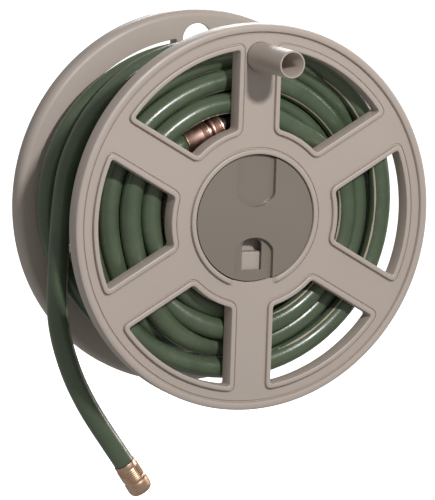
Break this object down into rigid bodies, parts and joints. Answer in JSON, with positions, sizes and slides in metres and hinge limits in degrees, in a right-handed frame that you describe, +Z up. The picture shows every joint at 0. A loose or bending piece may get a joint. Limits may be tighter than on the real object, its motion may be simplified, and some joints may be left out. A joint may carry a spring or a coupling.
{
  "type": "garden hose reel",
  "caption": "Wall-mounted garden hose reel: round spoked flanges on a drum with a crank handle, a wound green hose with brass couplings, and a wall plate with a water inlet.",
  "frame": {"origin": "centre of the wall plate's back face, on the spool's axis", "axes": "+Z up, +Y into the wall along the spool's axis, +X to the right seen from the front"},
  "size_m": [0.4, 0.324, 0.5106],
  "materials": {
    "taupe_plastic": "satin",
    "dark_taupe_plastic": "semi-gloss",
    "black_plastic": "satin",
    "natural_nylon": "satin",
    "hose_green": "semi-gloss",
    "seal_rubber": "matt",
    "brass": "satin",
    "steel": "zinc plated"
  },
  "bodies": {
    "bracket": {"wall_plate": "taupe_plastic", "wall_screw_1": "steel", "wall_screw_2": "steel", "wall_screw_3": "steel", "wall_screw_4": "steel", "wall_washer_1": "steel", "wall_washer_2": "steel", "wall_washer_3": "steel", "wall_washer_4": "steel", "axle_tube": "steel", "inlet_fitting": "brass", "o_ring_rear": "seal_rubber", "o_ring_front": "seal_rubber", "rear_thrust_washer": "steel", "front_thrust_washer": "steel", "axle_nut": "steel", "hose_tail": "hose_green", "male_ferrule": "brass", "male_nipple": "brass"},
    "spool": {"front_flange": "taupe_plastic", "back_flange": "taupe_plastic", "drum": "taupe_plastic", "front_hub_plate": "taupe_plastic", "rear_hub_plate": "taupe_plastic", "front_bush": "natural_nylon", "rear_bush": "natural_nylon", "front_flange_screw_1": "steel", "front_flange_screw_2": "steel", "front_flange_screw_3": "steel", "rear_flange_screw_1": "steel", "rear_flange_screw_2": "steel", "rear_flange_screw_3": "steel", "water_swivel": "black_plastic", "outlet_elbow": "black_plastic", "coupling_washer": "seal_rubber", "female_ferrule": "brass", "hose_coil": "hose_green", "handle_bushing": "taupe_plastic", "cap_catch": "taupe_plastic"},
    "handle": {"handle_grip": "taupe_plastic", "handle_retainer": "steel"},
    "cap": {"hub_cap": "dark_taupe_plastic"},
    "nut": {"swivel_nut": "brass"}
  },
  "joints": [
    {"name": "spool_spin", "type": "hinge", "parent": "bracket", "child": "spool", "pos_m": [0, -0.1325, 0], "axis": [0, 1, 0], "continuous": true},
    {"name": "handle_spin", "type": "hinge", "parent": "spool", "child": "handle", "pos_m": [0, -0.219, 0.1665], "axis": [0, 1, 0], "continuous": true},
    {"name": "cap_pull", "type": "slide", "parent": "spool", "child": "cap", "axis": [0, -1, 0], "range_m": [0, 0.05]},
    {"name": "nut_turn", "type": "hinge", "parent": "spool", "child": "nut", "pos_m": [-0.02928, -0.181, 0.09009], "axis": [-0.9272, 0, -0.3746], "continuous": true}
  ]
}
